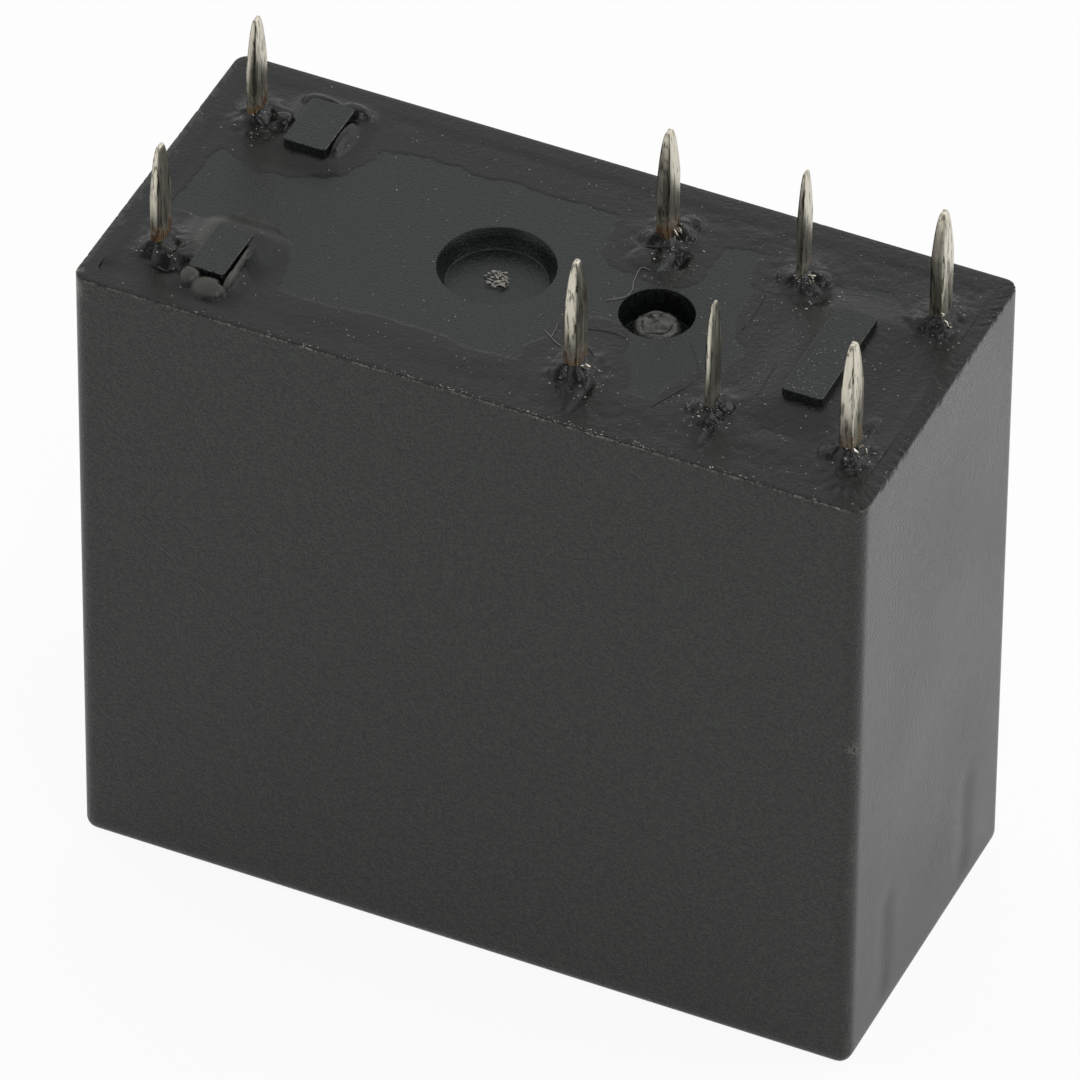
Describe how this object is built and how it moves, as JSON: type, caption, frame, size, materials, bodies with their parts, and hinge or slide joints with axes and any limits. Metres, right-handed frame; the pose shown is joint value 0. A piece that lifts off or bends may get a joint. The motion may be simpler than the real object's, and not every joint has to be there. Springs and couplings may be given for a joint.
{
  "type": "pcb power relay",
  "caption": "Sealed black box relay standing on its closed case end, with flat tinned solder terminals rising from a resin-sealed base; coil, armature and changeover contacts inside.",
  "frame": {"origin": "centre of the case's closed face, which the relay stands on with its terminals up", "axes": "+Z from the closed face to the terminals, +X from the coil end to the contact end, +Y across the case"},
  "size_m": [0.029, 0.0132, 0.0296],
  "materials": {
    "case_plastic": "moulded black polyester, satin, scuffed edges",
    "base_plastic": "moulded black polyester, smooth",
    "resin": "poured black epoxy, dusty and bubbly",
    "plug_resin": "rough grey sealed nub",
    "bobbin_plastic": "moulded natural nylon",
    "copper_wire": "enamelled copper wire",
    "tape": "polyester film tape",
    "magnet_steel": "nickel-plated soft steel",
    "spring_metal": "rolled spring strip",
    "card_plastic": "moulded white nylon",
    "copper_alloy": "rolled copper alloy strip",
    "tinned_terminal": "tin-plated copper alloy, streaky",
    "contact_silver": "silver alloy"
  },
  "bodies": {
    "root": {"case": "case_plastic", "base": "base_plastic", "sealant": "resin", "vent_plug": "plug_resin", "bobbin": "bobbin_plastic", "coil_winding": "copper_wire", "coil_tape": "tape", "lead_wraps": "copper_wire", "core": "magnet_steel", "yoke": "magnet_steel", "hinge_spring": "spring_metal", "spring_rivets": "copper_alloy", "coil_terminal_front": "tinned_terminal", "coil_terminal_back": "tinned_terminal", "nc_terminal_front": "tinned_terminal", "nc_terminal_back": "tinned_terminal", "com_terminal_front": "tinned_terminal", "com_terminal_back": "tinned_terminal", "no_terminal_front": "tinned_terminal", "no_terminal_back": "tinned_terminal", "nc_contact_front": "contact_silver", "nc_contact_back": "contact_silver", "no_contact_front": "contact_silver", "no_contact_back": "contact_silver"},
    "armature": {"armature": "magnet_steel", "card": "card_plastic"},
    "spring_front": {"moving_spring_front": "copper_alloy", "moving_contact_front": "contact_silver"},
    "spring_back": {"moving_spring_back": "copper_alloy", "moving_contact_back": "contact_silver"}
  },
  "joints": [
    {"name": "armature_hinge", "type": "hinge", "parent": "root", "child": "armature", "pos_m": [-0.0011, 0, 0.0042], "axis": [0, 1, 0], "range_deg": [0, 5], "stiffness_Nm_per_rad": 0.004, "springref_deg": -5.73},
    {"name": "spring_front_flex", "type": "hinge", "parent": "root", "child": "spring_front", "pos_m": [0.00812, -0.00375, 0.0194], "axis": [0, 1, 0], "range_deg": [-3.85, 0]},
    {"name": "spring_back_flex", "type": "hinge", "parent": "root", "child": "spring_back", "pos_m": [0.00812, 0.00375, 0.0194], "axis": [0, 1, 0], "range_deg": [-3.85, 0]}
  ],
  "couplings": [
    {"joint": "spring_front_flex", "follows": "armature_hinge", "ratio": -0.77},
    {"joint": "spring_back_flex", "follows": "armature_hinge", "ratio": -0.77}
  ]
}
